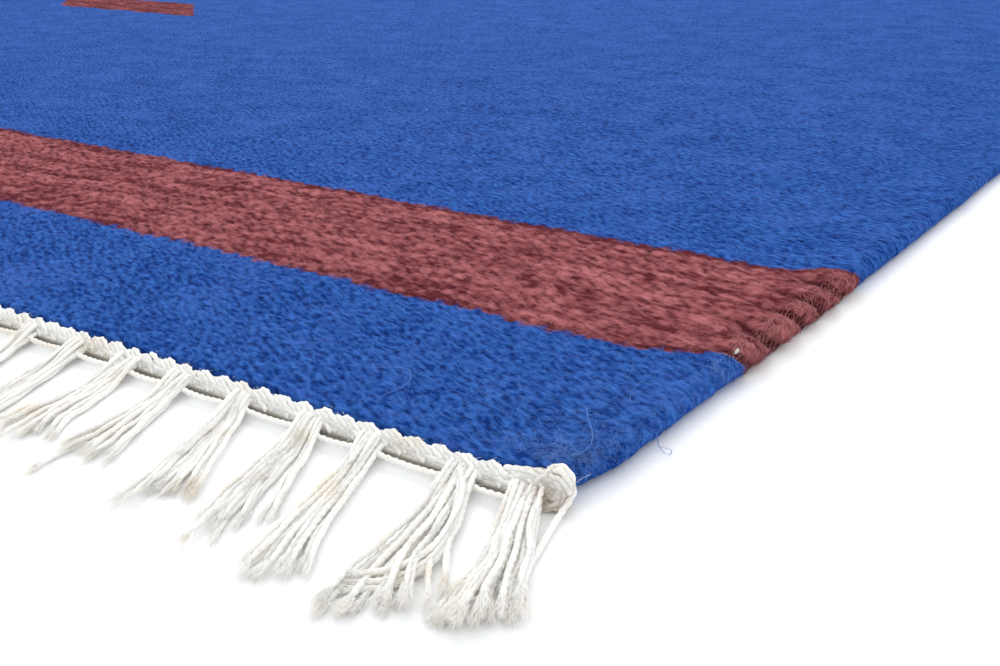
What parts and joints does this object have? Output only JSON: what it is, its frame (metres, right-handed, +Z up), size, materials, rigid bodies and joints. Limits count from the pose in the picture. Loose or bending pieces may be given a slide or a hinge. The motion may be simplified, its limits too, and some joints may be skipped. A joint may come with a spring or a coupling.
{
  "type": "flat-woven rug",
  "caption": "Rectangular flat-woven wool kilim lying flat, plain field with crosswise bands, thick selvedges, and a braided cotton end finish with slanting tassels at both ends.",
  "frame": {"origin": "on the floor under the middle of the rug", "axes": "+X across the rug along the wefts, from selvedge to selvedge; +Y along the rug and its warps, from one fringe to the other; +Z up off the floor. The corner in the picture is at +X and -Y."},
  "size_m": [1.2582, 1.9218, 0.0061],
  "materials": {
    "blue_wool": "fuzzy weft-faced wool weave, royal blue with madder red-brown bands across it",
    "cream_cotton": "matt plied cotton yarn, undyed cream"
  },
  "bodies": {
    "root": {"woven_cloth": "blue_wool", "fringe_near": "cream_cotton", "fringe_far": "cream_cotton"}
  },
  "joints": []
}
